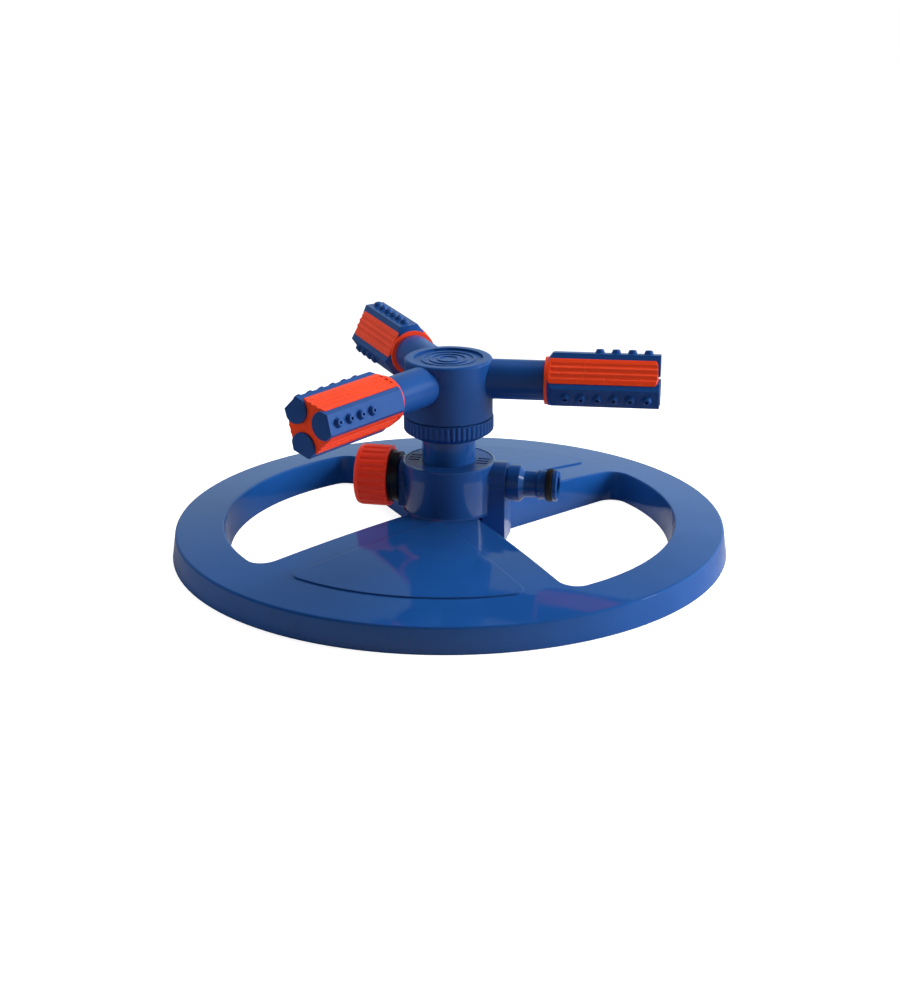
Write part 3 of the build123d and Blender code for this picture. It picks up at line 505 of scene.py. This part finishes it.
eye_white = beyond * (FAR_WHITE - NEAR_WHITE) + NEAR_WHITE
mirrored = rightness * GLOW_RIGHT + ramp(net, to_back, *BACK_SIDE) * GLOW_BACK + GLOW_EVEN
glow = (eye + clear_ray) * eye_white + mirror_ray * (far * mirrored)
matt = net.add("ShaderNodeBsdfPrincipled", inputs={
    "Base Color": pale, "Roughness": 0.9, "Specular IOR Level": 0.1,
    "Emission Color": (1.0, 1.0, 1.0, 1.0), "Emission Strength": glow})
net.add("ShaderNodeOutputMaterial", inputs={"Surface": matt})
print("floor paper", len(net.tree.nodes), "nodes")

# %% [markdown]
# ## The room
#
# The room has three parts: white where the camera looks at it, a faint even light for matt surfaces, and
# another picture for reflections. That one is bright near the horizon and dim overhead, brighter behind and
# to the right, and dark at the far left. It gives the deck its pale sheen at the back and its deep blue in
# front.

# %% The reflected room
# Each part fades in between two values of a direction's X, Y or Z, which run from -1 to 1.
CEILING, BACK_WALL, RIGHT_WALL, FAR_LEFT = (0.22, 0.72), (-0.3, 0.6), (-0.6, 0.9), (-0.3, -0.75)
HORIZON_LEVEL, CEILING_DROP = 0.68, 0.54
FRONT_SHARE, LEFT_SHARE, RIGHT_GAIN, FAR_LEFT_DROP = 0.38, 0.75, 0.55, 0.6

world = bpy.data.worlds.new("studio")
bpy.context.scene.world = world
net = Net(world)
direction = net.add("ShaderNodeTexCoord", out="Generated")
toward_right, toward_back, height = [
    net.add("ShaderNodeSeparateXYZ", inputs={"Vector": direction}, out=name) for name in "XYZ"]
level = HORIZON_LEVEL - ramp(net, height, *CEILING) * CEILING_DROP
level = level * (ramp(net, toward_back, *BACK_WALL) * (1 - FRONT_SHARE) + FRONT_SHARE)
level = level * (ramp(net, toward_right, *RIGHT_WALL) * RIGHT_GAIN + LEFT_SHARE)
level = level * (1 - ramp(net, toward_right, *FAR_LEFT) * FAR_LEFT_DROP)

# %% The room by the kind of ray
PLAIN_TINT, PLAIN_LEVEL = (0.92, 0.96, 1.0, 1.0), 0.11
MIRROR_TINT = (0.78, 0.98, 1.0, 1.0)

eye, glossy = [net.add("ShaderNodeLightPath", out=name) for name in ("Is Camera Ray", "Is Glossy Ray")]
plain = net.add("ShaderNodeBackground", inputs={"Color": PLAIN_TINT, "Strength": PLAIN_LEVEL})
seen = net.add("ShaderNodeBackground", inputs={"Color": (1.0, 1.0, 1.0, 1.0), "Strength": 1.0})
mirror = net.add("ShaderNodeBackground", inputs={"Color": MIRROR_TINT, "Strength": level})
mix = net.add("ShaderNodeMixShader", inputs={"Fac": glossy, 1: plain, 2: mirror})
mix = net.add("ShaderNodeMixShader", inputs={"Fac": eye, 1: mix, 2: seen})
net.add("ShaderNodeOutputWorld", inputs={"Surface": mix})
print("world", len(net.tree.nodes), "nodes")

# %% [markdown]
# ## The lamps
#
# Four soft boxes light the sprinkler: a wide one above and behind it, the main one at the right, a weak one
# at the left to fill the shadows, and a small one at the right. Only the small one shows in reflections,
# where it draws the glint on rounded pieces. The others stay out of them, because the room is already there.


# %% Soft boxes
def soft_box(name, place, aim, width, height, power, mirrored):
    """A rectangular lamp at a place in metres, facing a point."""
    lamp = bpy.data.lights.new(name, "AREA")
    lamp.shape, lamp.size, lamp.size_y = "RECTANGLE", width, height
    lamp.energy = power
    holder = bpy.data.objects.new(name, lamp)
    bpy.context.scene.collection.objects.link(holder)
    holder.location = place
    holder.rotation_mode = "QUATERNION"
    holder.rotation_quaternion = (Vector(aim) - Vector(place)).to_track_quat("-Z", "Y")
    holder.visible_glossy = mirrored
    print(name, power, "W")


soft_box("top_box", (0.08, 0.60, 1.20), (0, 0, 0.03), 1.0, 0.8, power=13.0, mirrored=False)
soft_box("right_box", (1.28, 0.18, 0.36), (0, 0, 0.05), 0.8, 0.7, power=25.0, mirrored=False)
soft_box("left_box", (-1.17, -0.16, 0.42), (0, 0, 0.05), 0.8, 0.8, power=4.3, mirrored=False)
soft_box("glint", (1.28, 0.16, 0.56), (0, 0, 0.08), 0.22, 0.22, power=0.8, mirrored=True)

# %% [markdown]
# ## The camera
#
# A long lens from about twenty degrees above the floor, turned twelve degrees to the right of the front. It
# is far enough away for the ring to look calm, with little perspective. The aim point is on the hub's axis, a
# little above the deck.

# %% Camera
CAMERA_PLACE = Vector((0.18847, -0.88670, 0.34569))
CAMERA_AIM = Vector((0.00036, 0.00008, 0.02286))
CAMERA_ROLL = math.radians(-0.405)
SENSOR_HEIGHT_MM, LENS_MM = 36.0, 68.4

camera_data = bpy.data.cameras.new("camera")
camera_data.sensor_fit = "VERTICAL"
camera_data.sensor_height = SENSOR_HEIGHT_MM
camera_data.lens = LENS_MM
camera_data.clip_start, camera_data.clip_end = 0.05, 50.0
camera = bpy.data.objects.new("camera", camera_data)
bpy.context.scene.collection.objects.link(camera)
camera.location = CAMERA_PLACE
camera.rotation_mode = "QUATERNION"
look = (CAMERA_AIM - CAMERA_PLACE).to_track_quat("-Z", "Y")
camera.rotation_quaternion = look @ Quaternion((0, 0, 1), CAMERA_ROLL)
bpy.context.scene.camera = camera
bpy.context.scene.view_settings.view_transform = "Standard"
print("camera", round((CAMERA_AIM - CAMERA_PLACE).length, 3), "m away")
